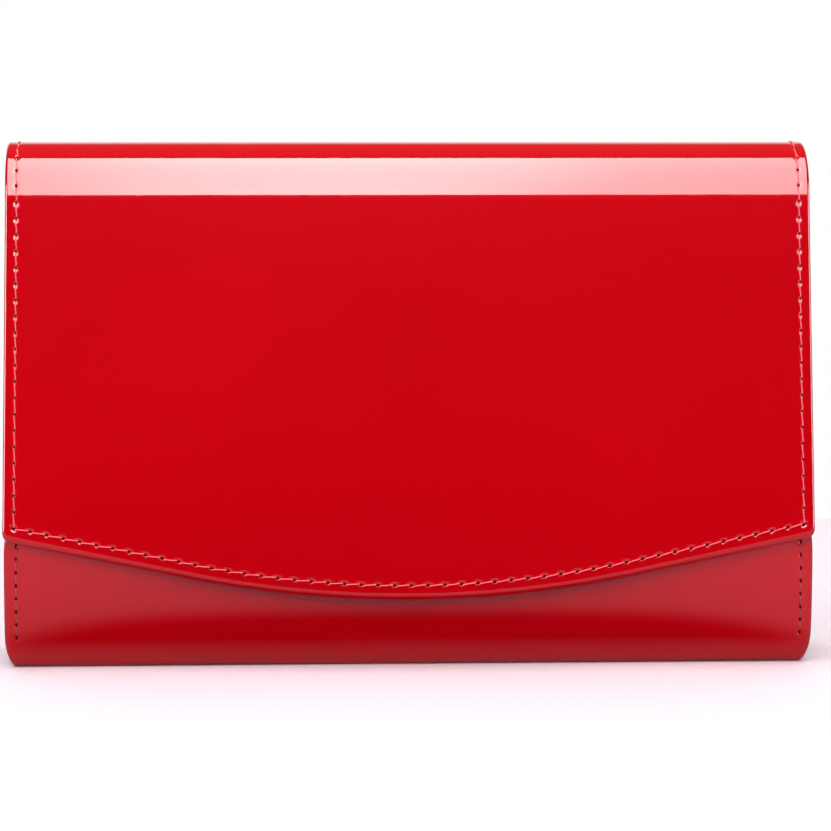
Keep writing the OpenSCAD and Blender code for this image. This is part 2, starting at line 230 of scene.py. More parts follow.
# %% Fall-off of the soft box to its sides
long_soft.data.use_nodes = True
wires = long_soft.data.node_tree
shine = wires.nodes["Emission"]
across = wires.nodes.new("ShaderNodeNewGeometry")
parts = wires.nodes.new("ShaderNodeSeparateXYZ")
ramp = wires.nodes.new("ShaderNodeFloatCurve")
curve = ramp.mapping.curves[0]
curve.points[0].location, curve.points[1].location = (0.0, 0.5), (1.0, 0.7)
for where, share in ((0.36, 1.05), (0.50, 1.45), (0.64, 1.0)):
    curve.points.new(where, share)
ramp.mapping.clip_max_y = 2
ramp.mapping.update()
wires.links.new(across.outputs["Parametric"], parts.inputs[0])
wires.links.new(parts.outputs["X"], ramp.inputs["Value"])
wires.links.new(ramp.outputs[0], shine.inputs["Strength"])

# %% White wall behind, dark room in front
world = bpy.data.worlds.new("studio")
bpy.context.scene.world = world
world.use_nodes = True
wires = world.node_tree
wires.nodes.clear()
place = wires.nodes.new("ShaderNodeTexCoord")
split = wires.nodes.new("ShaderNodeSeparateXYZ")
straight = wires.nodes.new("ShaderNodeLightPath")
sky = wires.nodes.new("ShaderNodeBackground")
sky.inputs["Color"].default_value = (1, 1, 1, 1)
out = wires.nodes.new("ShaderNodeOutputWorld")
wires.links.new(place.outputs["Generated"], split.inputs[0])


def wall_edge(axis, low, high):
    """1 where the direction's part along an axis is past high, 0 before low."""
    made = wires.nodes.new("ShaderNodeMapRange")
    made.interpolation_type = "SMOOTHSTEP"
    made.inputs["From Min"].default_value, made.inputs["From Max"].default_value = low, high
    wires.links.new(split.outputs[axis], made.inputs["Value"])
    return made.outputs[0]


def combine(operation, a, b):
    """One Math node on two values, each a socket or a number."""
    made = wires.nodes.new("ShaderNodeMath")
    made.operation = operation
    for socket, value in zip(made.inputs, (a, b)):
        if isinstance(value, float):
            socket.default_value = value
        else:
            wires.links.new(value, socket)
    return made.outputs[0]


wall = wall_edge("Y", -0.05, 0.12)
for axis, low, high in (("X", 0.75, 0.4), ("X", -0.75, -0.4), ("Z", 0.62, 0.42)):
    wall = combine("MULTIPLY", wall, wall_edge(axis, low, high))
dim = combine("MULTIPLY", wall_edge("Y", -0.3, 0.3), 0.14)
seen = combine("MAXIMUM", combine("MAXIMUM", wall, dim), straight.outputs["Is Camera Ray"])
wires.links.new(seen, sky.inputs["Strength"])
wires.links.new(sky.outputs[0], out.inputs["Surface"])

# %% [markdown]
# ## Finishes
#
# Each finish is a small sum of patterns. A thin class lets those sums be written as plain Python:
# an expression on two values adds the Math node that works it out.

# %% A value that takes + - * /
class Value:
    """One output socket of a finish."""

    def __init__(self, finish, socket):
        self.finish, self.socket = finish, socket

    def sum(self, operation, other=None, first=True):
        pair = [self] if other is None else [self, other] if first else [other, self]
        return self.finish.node("ShaderNodeMath", {"operation": operation}, dict(enumerate(pair)))[0]

    def __add__(self, other):
        return self.sum("ADD", other)

    def __sub__(self, other):
        return self.sum("SUBTRACT", other)

    def __rsub__(self, other):
        return self.sum("SUBTRACT", other, first=False)

    def __mul__(self, other):
        return self.sum("MULTIPLY", other)

    def __truediv__(self, other):
        return self.sum("DIVIDE", other)


# %% A finish, and any node in it
class Made:
    """The outputs of one node, by name or number."""

    def __init__(self, finish, node):
        self.finish, self.made = finish, node

    def __getitem__(self, key):
        return Value(self.finish, self.made.outputs[key])


class Finish:
    def __init__(self, name, **sockets):
        self.material = bpy.data.materials.new(name)
        self.material.use_nodes = True
        self.tree = self.material.node_tree
        self.tree.nodes.clear()
        self.coat = self.node("ShaderNodeBsdfPrincipled", {}, sockets)
        self.end = self.node("ShaderNodeOutputMaterial", {}, {"Surface": self.coat["BSDF"]})
        self.place = self.node("ShaderNodeTexCoord")["Object"]

    def node(self, kind, settings=None, sockets=None):
        made = self.tree.nodes.new(kind)
        for name, value in (settings or {}).items():
            setattr(made, name, value)
        for name, value in (sockets or {}).items():
            self.set(made.inputs[name], value)
        return Made(self, made)

    def set(self, socket, value):
        if isinstance(value, Value):
            self.tree.links.new(value.socket, socket)
        else:
            socket.default_value = value

    def put(self, name, value):
        self.set(self.coat.made.inputs[name], value)

    def noise(self, scale, detail=2.0, stretch=(1, 1, 1)):
        """Soft noise at so many lumps a metre, squeezed along an axis by stretch."""
        where = self.node("ShaderNodeMapping", {}, {"Vector": self.place, "Scale": stretch})[0]
        return self.node("ShaderNodeTexNoise", {}, {"Vector": where, "Scale": scale, "Detail": detail})[0]

    def mix(self, share, a, b):
        """A colour between a and b."""
        made = self.node("ShaderNodeMix", {"data_type": "RGBA"}, {0: share, 6: a, 7: b})
        return made[2]

    def step(self, value, low, high):
        """0 below low, 1 above high, smooth between."""
        ends = {"Value": value, "From Min": low, "From Max": high}
        return self.node("ShaderNodeMapRange", {"interpolation_type": "SMOOTHSTEP"}, ends)[0]

    def bump(self, height, distance):
        """Raised by height (0 to 1) times distance, in metres."""
        ends = {"Height": height, "Distance": distance, "Strength": 1.0}
        self.put("Normal", self.node("ShaderNodeBump", {}, ends)["Normal"])


# %% [markdown]
# ### Patent leather
#
# Patent leather is a dyed hide under a thick clear lacquer. The dye is an even, saturated red and the
# lacquer a mirror over it. One sharp gloss over the colour gives both, and its bumps bend the mirror.
# A faint, softer coat adds the haze of handling. The lacquer still follows the hide a little, in
# broad, very shallow waves. Where it is sewn, each needle hole pulls the surface down. The hole itself
# is dull, as the lacquer is broken there, and its dark red is painted shade for the inside of the hole.

# %% Patent leather
red = (0.60, 0.0006, 0.006, 1)
deep_red = (0.50, 0.0004, 0.004, 1)
# The needle holes' dark red is painted shade: it stands in for the shade inside each hole.
hole_shade_red = (0.13, 0.0006, 0.003, 1)
hole_half, dent_half = (0.72, 0.40), (1.9, 1.25)
gloss = {"IOR": 1.5, "Specular IOR Level": 0.5, "Coat Weight": 0.06, "Coat Roughness": 0.12}


def sewn_row(finish, name, pitch):
    """(hole, dent) masks round the needle holes of one row, from a piece's own row attribute."""
    row = finish.node("ShaderNodeAttribute", {"attribute_name": name})["Vector"]
    parts = finish.node("ShaderNodeSeparateXYZ", {}, {0: row})
    cell = (parts["X"] / pitch + 0.5).sum("FRACT") - 0.5
    along, off = cell * (pitch / mm), parts["Y"] / mm
    masks = []
    for (a, b), low, high in ((hole_half, 0.8, 1.15), (dent_half, 0.0, 1.0)):
        far = ((along / a).sum("POWER", 2) + (off / b).sum("POWER", 2)).sum("SQRT")
        masks.append((1 - finish.step(far, low, high)) * finish.step(parts["Z"], 0.4, 0.6))
    return masks


def patent(name, rows=()):
    """Patent leather, with the needle holes of the named rows: (attribute, pitch)."""
    finish = Finish(name, **gloss)
    waves = finish.noise(22, 1) * 0.7 + finish.noise(70, 2) * 0.3
    hide = finish.noise(900, 3) * 0.02
    colour = finish.mix(finish.noise(14, 3), deep_red, red)
    height = waves * 0.05 + hide * 0.02
    rough = finish.noise(30, 2) * 0.015 + 0.02
    painted_hole_shade = None
    for attribute, pitch in rows:
        hole, dent = sewn_row(finish, attribute, pitch)
        height = height - hole * 0.10 - dent * 0.11
        painted_hole_shade = hole if painted_hole_shade is None else painted_hole_shade.sum("MAXIMUM", hole)
    finish.put("Base Color", colour)
    finish.put("Roughness", rough)
    finish.bump(height, 1 * mm)
    # The holes turn to a dull dark diffuse: dull where the lacquer is broken, and dark as painted shade for
    # the inside of the hole.
    if painted_hole_shade is not None:
        dark = finish.node("ShaderNodeBsdfDiffuse", {}, {"Color": hole_shade_red})
        ends = {0: painted_hole_shade, 1: finish.coat["BSDF"], 2: dark[0]}
        finish.set(finish.end.made.inputs["Surface"], finish.node("ShaderNodeMixShader", {}, ends)[0])
    return finish.material


plain_patent = patent("patent_leather")
print("made the patent leather")

# %% [markdown]
# ### Thread, lining, board and zip
#
# The thread is a bonded twisted cord, lighter than the leather on the flap and the back, and much
# darker on the front. The lining is a ribbed cloth, the boards are pressed fibre, and the zip is plated
# metal on a woven tape.

# %% Thread and cloth
def corded(name, dark, light, ribs, rough, stretch=(1, 1, 1)):
    """Cloth or cord: fine ribs in bump and colour, with a slow change of shade."""
    finish = Finish(name, Roughness=rough)
    finish.put("Sheen Weight", 0.25)
    where = finish.node("ShaderNodeMapping", {}, {"Vector": finish.place, "Scale": stretch})[0]
    ribbed = {"Vector": where, "Scale": ribs, "Distortion": 0.6}
    lines = finish.node("ShaderNodeTexWave", {"bands_direction": "DIAGONAL"}, ribbed)
    shade = lines["Fac"] * 0.6 + finish.noise(160, 2) * 0.4
    finish.put("Base Color", finish.mix(shade, dark, light))
    finish.bump(lines["Fac"], 0.08 * mm)
    return finish.material


thread = corded("thread", (0.85, 0.05, 0.06, 1), (1.0, 0.11, 0.13, 1), 900, 0.42)
# The front's rows get a second copy of the thread finish, much darker than the flap's thread.
dark_thread = corded("thread_front", (0.24, 0.002, 0.004, 1), (0.42, 0.006, 0.012, 1), 900, 0.5)
lining = corded("lining", (0.075, 0.006, 0.010, 1), (0.13, 0.014, 0.022, 1), 420, 0.75, (0.0, 0.0, 1.0))
tape = corded("zip_tape", (0.14, 0.006, 0.010, 1), (0.24, 0.014, 0.022, 1), 700, 0.8, (1.0, 0.0, 0.6))


# %% Board, metal and film
def board_finish():
    finish = Finish("stiffener", Roughness=0.85)
    fibre = finish.noise(700, 4, (1, 1, 0.25))
    finish.put("Base Color", finish.mix(fibre, (0.34, 0.27, 0.20, 1), (0.50, 0.42, 0.33, 1)))
    finish.bump(fibre, 0.05 * mm)
    return finish.material


def metal_finish(name, colour, rough):
    finish = Finish(name, Metallic=1.0)
    rubbed = finish.noise(500, 3, (0.2, 1, 1))
    finish.put("Base Color", finish.mix(rubbed, tuple(0.86 * c for c in colour) + (1,), colour + (1,)))
    finish.put("Roughness", rubbed * 0.16 + rough)
    finish.bump(rubbed, 0.01 * mm)
    return finish.material


def film_finish():
    finish = Finish("magnet_pocket", Roughness=0.2)
    dull, clear = (0.70, 0.70, 0.72, 1), (0.86, 0.86, 0.86, 1)
    finish.put("Base Color", finish.mix(finish.noise(200), dull, clear))
    return finish.material


board = board_finish()
gold = metal_finish("zip_metal", (0.83, 0.62, 0.33), 0.12)
nickel = metal_finish("magnet", (0.55, 0.56, 0.58), 0.2)
film = film_finish()

# %% [markdown]
# ## Cut flat, turn the edge, wrap
#
# A layer starts as a flat grid: x runs across the purse and y along the line. Its rim is rolled by
# extruding the open edge a few times round a half circle, as a maker skives and turns an edge.
# Wrapping then moves every point onto the line, and Solidify gives the layer its thickness.
# Bend and shear need a window, so the wrap itself moves the points in code.

# %% Flat grid
def flat(name, across, along, rule):
    """A grid with the given columns and rows, each point put at rule(column, row)."""
    bpy.ops.object.select_all(action="DESELECT")
    columns, rows = len(across) - 1, len(along) - 1
    bpy.ops.mesh.primitive_grid_add(x_subdivisions=columns, y_subdivisions=rows, size=1)
    piece = bpy.context.object
    piece.name = piece.data.name = name
    for point in piece.data.vertices:
        column = across[round((point.co.x + 0.5) * columns)]
        row = along[round((point.co.y + 0.5) * rows)]
        point.co = (*rule(column, row), 0)
    return piece


def spread(count, ends=()):
    """0 to 1 in even steps, with closer steps of the given sizes at both ends."""
    start = [0.0]
    for size in ends:
        start.append(start[-1] + size)
    inner = [start[-1] + (1 - 2 * start[-1]) * k / count for k in range(1, count)]
    return start + inner + [1 - s for s in start[::-1]]


# %% Turned rim
def rim_points(piece, at_rim):
    """Each rim point's place and the way out from it in the flat pattern."""
    ways = {}
    faces = {}
    for face in piece.data.polygons:
        for key in face.edge_keys:
            faces.setdefault(key, []).append(face)
    for (a, b), found in faces.items():
        p, q = piece.data.vertices[a].co, piece.data.vertices[b].co
        if len(found) == 1 and at_rim(p) and at_rim(q):
            way = Vector((q.y - p.y, p.x - q.x, 0)).normalized()
            if way.dot((p + q) / 2 - found[0].center) < 0:
                way = -way
            for k in (a, b):
                ways[k] = ways.get(k, Vector()) + way
    return {k: (piece.data.vertices[k].co.copy(), way.normalized()) for k, way in ways.items()}


def turn_rim(piece, at_rim, reach, half, hem, steps=6):
    """Rolls the rim out by reach, given (across, along), then under, then back in by the hem."""
    rim = rim_points(piece, at_rim)
    bpy.ops.object.mode_set(mode="EDIT")
    bpy.ops.mesh.select_mode(type="EDGE")
    bpy.ops.mesh.select_all(action="DESELECT")
    bpy.ops.object.mode_set(mode="OBJECT")
    for edge in piece.data.edges:
        edge.select = all(k in rim for k in edge.vertices) and edge.key in open_edges(piece)
    base = {tuple(round(c, 8) for c in place): (place, way) for place, way in rim.values()}
    for k in range(1, steps + 2):
        bpy.ops.object.mode_set(mode="EDIT")
        bpy.ops.mesh.extrude_region_move()
        bpy.ops.object.mode_set(mode="OBJECT")
        turn = math.pi * min(k, steps) / steps
        rolled, back = math.sin(turn), hem if k > steps else 0
        moved = {}
        for point in piece.data.vertices:
            if point.select:
                place, way = base[tuple(round(c, 8) for c in point.co)]
                out = reach[0] * way.x**2 + reach[1] * way.y**2
                drop = Vector((0, 0, half * (1 - math.cos(turn))))
                point.co = place + way * (out * rolled - back) - drop
                moved[tuple(round(c, 8) for c in point.co)] = (place, way)
        base = moved


def open_edges(piece):
    """The keys of the edges that have one face only."""
    seen = {}
    for face in piece.data.polygons:
        for key in face.edge_keys:
            seen[key] = seen.get(key, 0) + 1
    return {key for key, count in seen.items() if count == 1}


# %% Wrap, thicken and finish
def wrap(piece, deep=0.0):
    """Lays a flat pattern along the line, and keeps each point's flat place as an attribute."""
    kept = piece.data.attributes.new("pattern", "FLOAT_VECTOR", "POINT")
    for point in piece.data.vertices:
        x, s, rise = point.co
        kept.data[point.index].vector = point.co
        sunk = deep(s) if callable(deep) else deep
        point.co = (x, *line.at(s, sunk - rise))
    bpy.ops.object.mode_set(mode="EDIT")
    bpy.ops.mesh.select_all(action="SELECT")
    bpy.ops.mesh.flip_normals()
    bpy.ops.object.mode_set(mode="OBJECT")
    return piece


def modify(piece, kind, **settings):
    """Adds a modifier and applies it."""
    bpy.ops.object.select_all(action="DESELECT")
    bpy.context.view_layer.objects.active = piece
    piece.select_set(True)
    made = piece.modifiers.new(kind.lower(), kind)
    for name, value in settings.items():
        setattr(made, name, value)
    bpy.ops.object.modifier_apply(modifier=made.name)
    return piece


def thicken(piece, thick, round_off=0.12 * mm):
    """Gives a sheet its thickness below its outer face, and eases its sharp edges."""
    modify(piece, "SOLIDIFY", thickness=thick, offset=-1, use_even_offset=True)
    if round_off:
        limit = math.radians(50)
        modify(piece, "BEVEL", width=round_off, segments=2, limit_method="ANGLE", angle_limit=limit)
    return smooth(piece)


def smooth(piece):
    bpy.ops.object.select_all(action="DESELECT")
    bpy.context.view_layer.objects.active = piece
    piece.select_set(True)
    bpy.ops.object.shade_smooth_by_angle(angle=math.radians(40))
    return piece


def painted(piece, material, slot, *nodes):
    """Gives a piece its finish and hides the CAD nodes that it stands for. The slot is not used."""
    piece.data.materials.clear()
    piece.data.materials.append(material)
    if nodes:
        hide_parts(*nodes)
    print(piece.name, len(piece.data.polygons), "faces")
    return piece


# %% [markdown]
# ## The flap's outline
#
# The flap is a little narrower at the fold than at its lower edge. That edge is a shallow bow: a wide
# arc in the middle that runs straight up to two small rounded corners.

# %% Outline of the flap
flap_half, fold_half = flap_high.x, flap_high.x - 0.9 * mm
tip_z, bow_r, bow_half = flap_low.z, 320 * mm, 65 * mm
corner_r = 3 * mm
bow_angle = math.asin(bow_half / bow_r)
fold_start, flap_start = line.run[line.first["fold"]], line.run[line.first["flap"]]


def edge_height(x):
    """How high the flap's lower edge is above the floor at x."""
    x = abs(x)
    if x < bow_half:
        return tip_z + bow_r - math.sqrt(bow_r**2 - x**2)
    return tip_z + bow_r * (1 - math.cos(bow_angle)) + (x - bow_half) * math.tan(bow_angle)


def edge_along(x):
    """How far along the line the flap's lower edge is at x."""
    return line.height("flap", edge_height(x))


def half_width(s):
    """Half the outer leather's width at a distance along."""
    share = (s - flap_start) / (edge_along(flap_half) - flap_start)
    return fold_half + (flap_half - fold_half) * min(max(share, 0), 1)


# %% [markdown]
# ## The outer leather: back, fold and flap
#
# One hide runs from the seam low on the back, up over the fold and down the flap. It is one grid, so
# the fold's highlight runs unbroken, and its sides and lower edge are turned under as one rim.

# %% Cut the outer leather
def splay(z):
    """How much wider the body is at a height: out above the base, in at its bottom corners."""
    out = min(max((48 * mm - z) / (16 * mm), 0), 1)
    foot = min(max((9 * mm - z) / (9 * mm), 0), 1)
    return 0.8 * mm * out * out * (3 - 2 * out) - 2.0 * mm * foot * foot


side_roll, edge_roll, roll_half, hem = 0.9 * mm, 1.8 * mm, 1.2 * mm, 0.9 * mm
seam_z = 27 * mm
seam_along = line.height("back", seam_z)
flat_corner = corner_r - edge_roll


def body_extra(s):
    """The back leather follows the body's own width below the fold."""
    return splay(line.at(s)[1]) if s < fold_start else 0.0


def skin_place(u, v):
    """Column u from 0 to 1, row v: 0 to 1 up the back, to 2 over the fold, to 3 down the flap."""
    u = 2 * u - 1
    if v <= 1:
        s = seam_along + (fold_start - seam_along) * v
        return u * (half_width(s) - side_roll + body_extra(s)), s
    if v <= 2:
        s = fold_start + (flap_start - fold_start) * (v - 1)
        return u * (half_width(s) - side_roll), s
    share = v - 2
    x = u * (flap_half - side_roll)
    low = edge_along(x) - edge_roll
    side_gap = flap_half - side_roll - abs(x)
    if side_gap < flat_corner:
        low -= flat_corner - math.sqrt(max(flat_corner**2 - (flat_corner - side_gap) ** 2, 0))
    s = flap_start + (low - flap_start) * share
    return u * (half_width(s) - side_roll), s


corner_steps = [c * mm / (2 * flap_half) for c in (0.05, 0.15, 0.25, 0.35, 0.5, 1.0, 1.5, 2.0, 2.5)]
columns = spread(56, corner_steps)
flap_rows = [2 + (1 - (1 - k / 44) ** 1.5) for k in range(1, 45)]
rows = [k / 34 for k in range(34)] + [1 + k / 48 for k in range(49)] + flap_rows


def outer_rim(p):
    """True at the sides and at the flap's lower edge, but not along the seam low on the back."""
    return p.y > seam_along + 0.1 * mm or abs(p.x) > 0.9 * fold_half


outer = flat("outer_leather", columns, rows, skin_place)
turn_rim(outer, outer_rim, (side_roll, edge_roll), roll_half, hem)
wrap(outer)
thicken(outer, 0.5 * mm)


# %% [markdown]
# ## Needle rows
#
# A seam is a row of holes with a thread in each step between them. The leather learns its rows from an
# attribute: how far along the row a point is, how far off it, and whether the row is there at all.
# The same rule places the threads, so the two always meet.

# %% Rows on the outer leather
side_inset, edge_inset = 3.4 * mm, 4.3 * mm


def slope(x):
    """The lower edge's rise, as an angle."""
    return math.asin(min(abs(x), bow_half) / bow_r)


def row_along(x):
    """How far along the line the lower row is at x."""
    return edge_along(x) - edge_inset / math.cos(slope(x))


side_row_x = flap_half - side_inset
corner_along = row_along(side_row_x)
row_half = bow_r * bow_angle + (side_row_x - bow_half) / math.cos(bow_angle)
edge_steps = 2 * round(row_half / (4.95 * mm))
edge_pitch = 2 * row_half / edge_steps
side_pitch = 4.75 * mm
row_end = line.height("back", 40 * mm)
print("the lower row has", edge_steps, "steps of", round(edge_pitch / mm, 2), "mm")


def edge_run(x):
    """How far from the middle the lower row has come at x."""
    way = math.copysign(1, x)
    x = abs(x)
    bowed = bow_r * math.asin(min(x, bow_half) / bow_r)
    return way * (bowed + max(x - bow_half, 0) / math.cos(bow_angle))


def write_row(piece, name, rule):
    """Writes a row's (along, off, present) on every point, from its flat place."""
    flat_place = [tuple(d.vector) for d in piece.data.attributes["pattern"].data]
    made = piece.data.attributes.new(name, "FLOAT_VECTOR", "POINT")
    for value, (x, s, rise) in zip(made.data, flat_place):
        value.vector = rule(x, s, rise)


def side_rule(x, s, rise):
    off = abs(x) - (half_width(s) - side_inset)
    here = rise > -0.4 * mm and row_end - 2 * mm < s < corner_along + 2.4 * mm
    return corner_along - s, off, float(here)


def edge_rule(x, s, rise):
    off = (row_along(x) - s) * math.cos(slope(x))
    here = rise > -0.4 * mm and abs(x) < side_row_x + 1.2 * mm and s > flap_start
    return edge_run(x), off, float(here)


write_row(outer, "side_row", side_rule)
write_row(outer, "edge_row", edge_rule)
sewn_patent = patent("patent_leather_sewn", (("side_row", side_pitch), ("edge_row", edge_pitch)))
painted(outer, sewn_patent, "patent_leather", "flap_leather", "flap_turned_edge", "back_leather")
bend_start, bend_end = (0, 15.5 * mm, fold_z), (0, 0, fold_z)
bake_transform(outer, "shell", "flap", bend_start, bend_end)

# %% [markdown]
# ## The front and base leather
#
# The front is a second hide. It starts under the seam low on the back, passes under the base and
# climbs the front, so the curl below the flap has no join. Its sides are turned over the gussets.

# %% Cut the front leather
body_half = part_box("front_leather")[1].x
front_top = line.height("front", fold_z - 0.6 * mm)
lap_along = line.height("back", seam_z + 4 * mm)
side_reach, side_half = 1.1 * mm, 1.0 * mm


def front_place(u, v):
    s = front_top + (lap_along - front_top) * v
    return (2 * u - 1) * (body_half - side_reach + splay(line.at(s)[1])), s


side_steps = [c * mm / (2 * body_half) for c in (0.5, 1.0, 1.5, 2.0, 2.5)]
front = flat("front_leather_skin", spread(50, side_steps), [k / 110 for k in range(111)], front_place)
turn_rim(front, lambda p: abs(p.x) > body_half - 5 * mm, (side_reach, side_reach), side_half, 0.9 * mm)


def under_lap(s):
    """The front leather dips under the back leather at their seam."""
    share = min(max((s - seam_along + 3 * mm) / (2.6 * mm), 0), 1)
    return 0.56 * mm * share * share * (3 - 2 * share)


wrap(front, under_lap)
thicken(front, 0.5 * mm)
front_row_top, front_row_low = line.height("front", 122 * mm), line.height("front", 7 * mm)
front_pitch, front_inset = 3.9 * mm, 3.6 * mm


def front_rule(x, s, rise):
    here = rise > -0.4 * mm and front_row_top - 2 * mm < s < front_row_low
    return s - front_row_top, abs(x) - (body_half - front_inset + splay(line.at(s)[1])), float(here)


write_row(front, "side_row", front_rule)
front_patent = patent("patent_leather_front", (("side_row", front_pitch),))
painted(front, front_patent, "patent_leather", "front_leather")
hinge_low, hinge_high = (0, 0, 29 * mm), (0, 0, 33 * mm)
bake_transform(front, "shell", "front", hinge_low, hinge_high)

# %% [markdown]
# ## One thread, many stitches
#
# A stitch is a short cord that dives into a hole at each end. It is drawn once, from a ring that is
# extruded station by station, and each copy is set on its row.

# %% One stitch
stitch_r = 0.17 * mm
stations = (
    (-0.86, 0.5, -1.2, 2.6),
    (-1.0, 0.9, 0.1, 1.9),
    (-0.97, 1.0, 0.6, 0.6),
    (-0.7, 1.0, 0.7, 0.0),
    (0.0, 1.0, 0.8, 0.0),
    (0.7, 1.0, 0.7, 0.0),
    (0.94, 1.0, 0.6, -0.2),
    (1.0, 0.5, -1.2, -0.5),
)


def one_stitch(length, radius, hook):
    """A stitch along x, its middle a little proud of z = 0, one end hooked to the side."""
    bpy.ops.object.select_all(action="DESELECT")
    bpy.ops.mesh.primitive_circle_add(vertices=8, radius=1, fill_type="NGON", rotation=(0, math.pi / 2, 0))
    piece = bpy.context.object
    bpy.ops.object.transform_apply(location=False, rotation=True, scale=True)
    for k, (where, size, rise, side) in enumerate(stations):
        if k:
            bpy.ops.object.mode_set(mode="EDIT")
            bpy.ops.mesh.extrude_region_move()
            bpy.ops.object.mode_set(mode="OBJECT")
        ring = [p for p in piece.data.vertices if p.select]
        middle = sum((p.co for p in ring), Vector()) / len(ring)
        widest = max((p.co - middle).length for p in ring)
        for p in ring:
            spoke = (p.co - middle) / widest * radius * size
            p.co = Vector((where * length / 2, hook * side * radius, rise * radius)) + spoke
    bpy.ops.object.mode_set(mode="EDIT")
    bpy.ops.mesh.select_all(action="SELECT")
    bpy.ops.mesh.normals_make_consistent(inside=False)
    bpy.ops.object.mode_set(mode="OBJECT")
    return smooth(piece)


# %% A row of stitches
def seat(x, s, deep=0.0):
    return Vector((x, *line.at(s, deep)))


def sewn(name, pairs, length, radius=stitch_r, slant=0.06):
    """Stitches between each pair of (x, s) holes, joined to one piece."""
    models = {hook: one_stitch(length, radius, hook) for hook in (-1, 1)}
    copies = []
    for (x0, s0), (x1, s1) in pairs:
        a, b = seat(x0, s0), seat(x1, s1)
        middle_x, middle_s = (x0 + x1) / 2, (s0 + s1) / 2
        out = seat(middle_x, middle_s, -1 * mm) - seat(middle_x, middle_s)
        out.normalize()
        run = (b - a).normalized()
        across = out.cross(run).normalized()
        run = (run + across * slant).normalized()
        across = out.cross(run).normalized()
        up = run.cross(across)
        turn = Matrix((run, across, up)).transposed().to_4x4()
        hook = -1 if abs(x1 - x0) > abs(s1 - s0) else 1
        copy = bpy.data.objects.new(name, models[hook].data.copy())
        bpy.context.scene.collection.objects.link(copy)
        copy.data.transform(Matrix.Translation(seat(middle_x, middle_s)) @ turn)
        copies.append(copy)
    for model in models.values():
        bpy.data.objects.remove(model)
    bpy.ops.object.select_all(action="DESELECT")
    for copy in copies:
        copy.select_set(True)
    bpy.context.view_layer.objects.active = copies[0]
    bpy.ops.object.join()
    piece = bpy.context.object
    piece.name = piece.data.name = name
    return piece


def x_at_run(run):
    """Where the lower row is, across, when it has come so far from the middle."""
    way, run = math.copysign(1, run), abs(run)
    if run < bow_r * bow_angle:
        return way * bow_r * math.sin(run / bow_r)
    return way * (bow_half + (run - bow_r * bow_angle) * math.cos(bow_angle))


# %% Sew the flap and the back
holes = [x_at_run((k - edge_steps / 2) * edge_pitch) for k in range(edge_steps + 1)]
pairs = [((a, row_along(a)), (b, row_along(b))) for a, b in zip(holes, holes[1:])]
side_steps_up = int((corner_along - row_end) / side_pitch)
for side in (-1, 1):
    for k in range(side_steps_up):
        ends = [corner_along - (k + step) * side_pitch for step in (0, 1)]
        pairs.append([(side * (half_width(s) - side_inset), s) for s in ends])
flap_thread = sewn("flap_thread", pairs, 4.1 * mm, slant=0.10)
painted(flap_thread, thread, "thread", "flap_stitching", "back_stitching")
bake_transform(flap_thread, "shell", "flap", bend_start, bend_end)

# %% Sew the front
pairs = []
front_steps = int((front_row_low - front_row_top) / front_pitch)
for side in (-1, 1):
    row = [front_row_top + k * front_pitch for k in range(front_steps + 1)]
    spots = [(side * (body_half - front_inset + splay(line.at(s)[1])), s) for s in row]
    pairs += zip(spots, spots[1:])
front_thread = sewn("front_thread", pairs, 2.6 * mm, 0.13 * mm)
painted(front_thread, dark_thread, "thread", "front_stitching")
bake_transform(front_thread, "shell", "front", hinge_low, hinge_high)

# %% Sew the seam low on the back
seam_row = seam_along + 2.2 * mm
seam_count = 46
seam_x = [(k / seam_count - 0.5) * 2 * (body_half - 6 * mm) for k in range(seam_count + 1)]
pairs = [((a, seam_row), (b, seam_row)) for a, b in zip(seam_x, seam_x[1:])]
seam_thread = sewn("seam_thread", pairs, 4.1 * mm)
painted(seam_thread, thread, "thread")
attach(seam_thread, "shell")

# %% [markdown]
# ## Boards inside
#
# The leather would sag without its boards. They are plain flat layers at their own depth, cut a
# little short of the turned rims.

# %% Boards
def front_at(z):
    """How far along the line the front wall passes a height."""
    return line.height("front", z)


def back_at(z):
    """How far along the line the back wall passes a height."""
    return line.height("back", z)


def layer(name, half, span, deep, thick, steps=60, round_off=0.12 * mm):
    """A plain layer of the given half width, over a span of the line, deep below its surface."""
    low, high = span
    even_rows = [k / steps for k in range(steps + 1)]

    def rule(u, v):
        return (2 * u - 1) * half, low + (high - low) * v

    piece = flat(name, spread(12, [0.01, 0.02]), even_rows, rule)
    wrap(piece, deep)
    return thicken(piece, thick, round_off)


board_half, board_deep, board_thick = body_half - 2.4 * mm, 1.0 * mm, 0.95 * mm
board_span = front_at(31 * mm), back_at(fold_z + 0.7 * mm)
body_board = layer("body_board", board_half, board_span, board_deep, board_thick)
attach(painted(body_board, board, "stiffener", "body_stiffener"), "shell")
board_span = front_at(fold_z - 1.3 * mm), front_at(31.6 * mm)
front_board = layer("front_board", board_half, board_span, board_deep, board_thick)
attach(painted(front_board, board, "stiffener", "front_stiffener"), "front")


def under_flap(name, gap, start, deep, thick):
    """A layer below the flap's leather: the flap's outline, gap in from its rim."""
    def rule(u, v):
        u = 2 * u - 1
        x = u * (flap_half - gap)
        low = edge_along(x) - gap
        s = start + (low - start) * v
        return u * (half_width(s) - gap), s

    piece = flat(name, spread(40), [k / 80 for k in range(81)], rule)
    wrap(piece, deep)
    return thicken(piece, thick)


flap_board = under_flap("flap_board_sheet", 2.0 * mm, fold_start + 9 * mm, 0.85 * mm, 0.9 * mm)
painted(flap_board, board, "stiffener", "flap_board")
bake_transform(flap_board, "shell", "flap", bend_start, bend_end)

# %% [markdown]
# ## Linings
#
# The lining cloth is glued to the boards, so it is a thin layer at its own depth. One piece lines
# the front, the base and the back; another lines the flap and ends at its turned rim.

